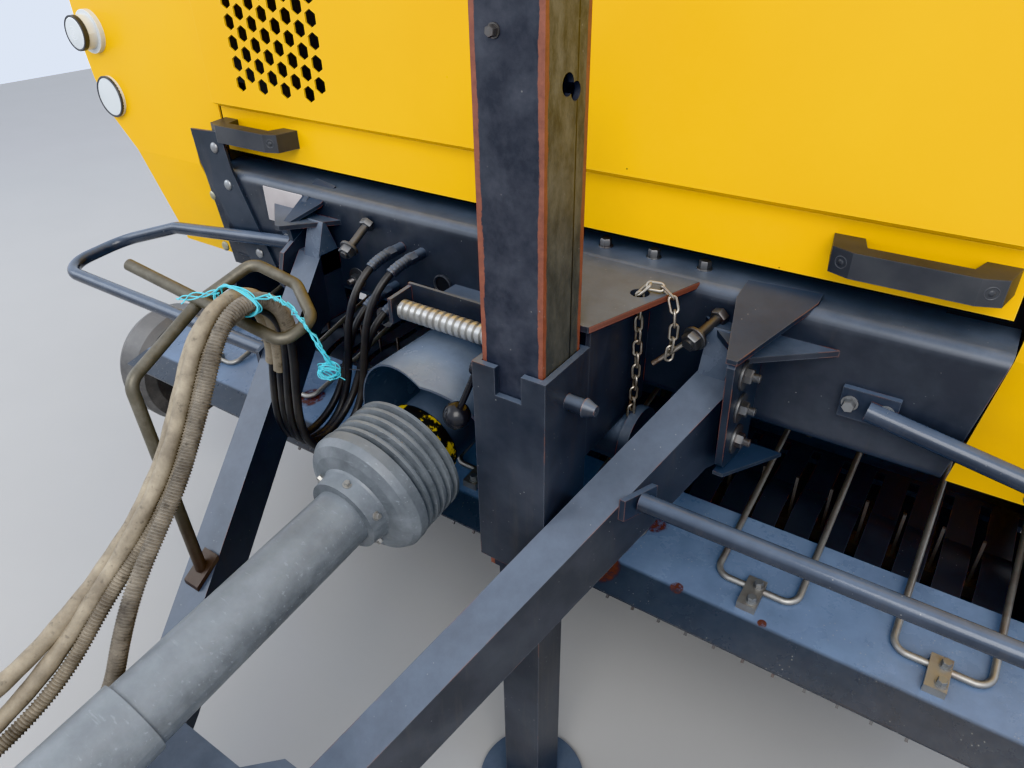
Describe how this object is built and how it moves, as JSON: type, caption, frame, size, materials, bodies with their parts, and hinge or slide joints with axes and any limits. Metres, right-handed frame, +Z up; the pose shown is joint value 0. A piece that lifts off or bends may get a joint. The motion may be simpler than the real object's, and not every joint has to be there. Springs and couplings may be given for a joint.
{
  "type": "round baler",
  "caption": "Towed round baler with a fixed roller chamber, rear tailgate, tined pickup, drawbar with hitch eye and a parking jack.",
  "frame": {"origin": "middle of the footprint on the ground", "axes": "+Z up, -Y towards the drawbar (front), +X the machine's left side"},
  "size_m": [2.62, 4.14, 2.419],
  "materials": {
    "yellow": "semi-gloss",
    "black_steel": "satin",
    "bare_steel": "worn",
    "zinc": "dull zinc",
    "band_steel": "satin",
    "cylinder_paint": "satin",
    "black_plastic": "matt",
    "lever_plastic": "matt",
    "hose_rubber": "matt",
    "lamp_plastic": "gloss",
    "tyre": "matt",
    "rim_paint": "satin"
  },
  "bodies": {
    "chassis": {"main_frame": "black_steel", "drawbar": "black_steel", "hitch_ring": "bare_steel", "jack_sleeve": "black_steel", "jack_post": "black_steel", "axle": "black_steel", "gearbox": "black_steel", "driveline_guard": "black_steel", "pto_guard": "black_plastic", "pto_rest": "bare_steel", "top_beam": "black_steel", "front_rollers": "bare_steel", "front_lamps": "lamp_plastic", "hose_holder": "zinc", "coupler_rack": "black_steel", "net_box": "black_steel", "feeder_housing": "black_steel", "chamber_wall_left": "black_steel", "chamber_wall_right": "black_steel", "front_panel_left": "yellow", "front_panel_right": "yellow", "roof_strip_left": "yellow", "roof_strip_right": "yellow", "guard_rail_left": "black_steel", "guard_rail_right": "black_steel", "latch_spring": "zinc", "jack_lever": "lever_plastic", "hose_lift": "hose_rubber", "hose_return": "hose_rubber", "hose_net": "hose_rubber", "hose_pickup": "hose_rubber"},
    "drive_shaft": {"pto_shaft": "bare_steel"},
    "jack": {"jack_leg": "black_steel"},
    "hood": {"hood": "yellow", "hood_handles": "black_plastic"},
    "door_left": {"side_door_left": "yellow"},
    "door_right": {"side_door_right": "yellow"},
    "rotor": {"feed_rotor": "bare_steel"},
    "pickup": {"pickup_frame": "black_steel", "pickup_bands": "band_steel"},
    "reel": {"pickup_reel": "bare_steel"},
    "guard": {"crop_guard": "black_steel", "guard_rods": "bare_steel"},
    "gauge_left": {"gauge_wheel_left": "tyre"},
    "gauge_right": {"gauge_wheel_right": "tyre"},
    "wheel_left": {"tyre_left": "tyre", "rim_left": "rim_paint"},
    "wheel_right": {"tyre_right": "tyre", "rim_right": "rim_paint"},
    "tailgate": {"gate_frame": "black_steel", "gate_cover": "yellow", "gate_rollers": "bare_steel", "rear_lamps": "lamp_plastic"},
    "barrel_left": {"cylinder_barrel_left": "cylinder_paint"},
    "barrel_right": {"cylinder_barrel_right": "cylinder_paint"},
    "rod_left": {"cylinder_rod_left": "bare_steel"},
    "rod_right": {"cylinder_rod_right": "bare_steel"}
  },
  "joints": [
    {"name": "hood_lift", "type": "hinge", "parent": "chassis", "child": "hood", "pos_m": [0, 0.96, 2.26], "axis": [-1, 0, 0], "range_deg": [0, 35]},
    {"name": "door_left_lift", "type": "hinge", "parent": "chassis", "child": "door_left", "pos_m": [0.838, 0, 2.296], "axis": [0, -1, 0], "range_deg": [0, 60]},
    {"name": "door_right_lift", "type": "hinge", "parent": "chassis", "child": "door_right", "pos_m": [-0.838, 0, 2.296], "axis": [0, 1, 0], "range_deg": [0, 60]},
    {"name": "tailgate_lift", "type": "hinge", "parent": "chassis", "child": "tailgate", "pos_m": [0, 1.04, 2.395], "axis": [1, 0, 0], "range_deg": [0, 65]},
    {"name": "cylinder_left_turn", "type": "hinge", "parent": "chassis", "child": "barrel_left", "pos_m": [0.728, 0.63, 1.1], "axis": [1, 0, 0], "range_deg": [-2, 20]},
    {"name": "cylinder_right_turn", "type": "hinge", "parent": "chassis", "child": "barrel_right", "pos_m": [-0.728, 0.63, 1.1], "axis": [1, 0, 0], "range_deg": [-2, 20]},
    {"name": "cylinder_left_stroke", "type": "slide", "parent": "barrel_left", "child": "rod_left", "axis": [0, 0.6411, 0.7675], "range_m": [-0.01, 0.575]},
    {"name": "cylinder_right_stroke", "type": "slide", "parent": "barrel_right", "child": "rod_right", "axis": [0, 0.6411, 0.7675], "range_m": [-0.01, 0.575]},
    {"name": "pickup_lower", "type": "hinge", "parent": "chassis", "child": "pickup", "pos_m": [0, 0.3, 0.68], "axis": [1, 0, 0], "range_deg": [0, 25]},
    {"name": "reel_spin", "type": "hinge", "parent": "pickup", "child": "reel", "pos_m": [0, -0.15, 0.44], "axis": [1, 0, 0], "continuous": true},
    {"name": "guard_lift", "type": "hinge", "parent": "pickup", "child": "guard", "pos_m": [0, -0.22, 0.74], "axis": [-1, 0, 0], "range_deg": [0, 8]},
    {"name": "gauge_left_spin", "type": "hinge", "parent": "pickup", "child": "gauge_left", "pos_m": [1.17, -0.38, 0.5], "axis": [1, 0, 0], "continuous": true},
    {"name": "gauge_right_spin", "type": "hinge", "parent": "pickup", "child": "gauge_right", "pos_m": [-1.17, -0.38, 0.5], "axis": [1, 0, 0], "continuous": true},
    {"name": "rotor_spin", "type": "hinge", "parent": "chassis", "child": "rotor", "pos_m": [0, 0.3, 0.68], "axis": [1, 0, 0], "continuous": true},
    {"name": "wheel_left_spin", "type": "hinge", "parent": "chassis", "child": "wheel_left", "pos_m": [1.02, 1.13, 0.47], "axis": [1, 0, 0], "continuous": true},
    {"name": "wheel_right_spin", "type": "hinge", "parent": "chassis", "child": "wheel_right", "pos_m": [-1.02, 1.13, 0.47], "axis": [1, 0, 0], "continuous": true},
    {"name": "drive_shaft_spin", "type": "hinge", "parent": "chassis", "child": "drive_shaft", "pos_m": [0, -0.52, 0.85], "axis": [0, -0.9921, -0.1253], "continuous": true},
    {"name": "jack_raise", "type": "slide", "parent": "chassis", "child": "jack", "axis": [0, 0, 1], "range_m": [0, 0.42]}
  ],
  "couplings": [
    {"joint": "cylinder_left_turn", "follows": "tailgate_lift", "ratio": 0.08593},
    {"joint": "cylinder_left_stroke", "follows": "tailgate_lift", "m_per_rad": 0.49477},
    {"joint": "cylinder_right_turn", "follows": "tailgate_lift", "ratio": 0.08593},
    {"joint": "cylinder_right_stroke", "follows": "tailgate_lift", "m_per_rad": 0.49477}
  ]
}
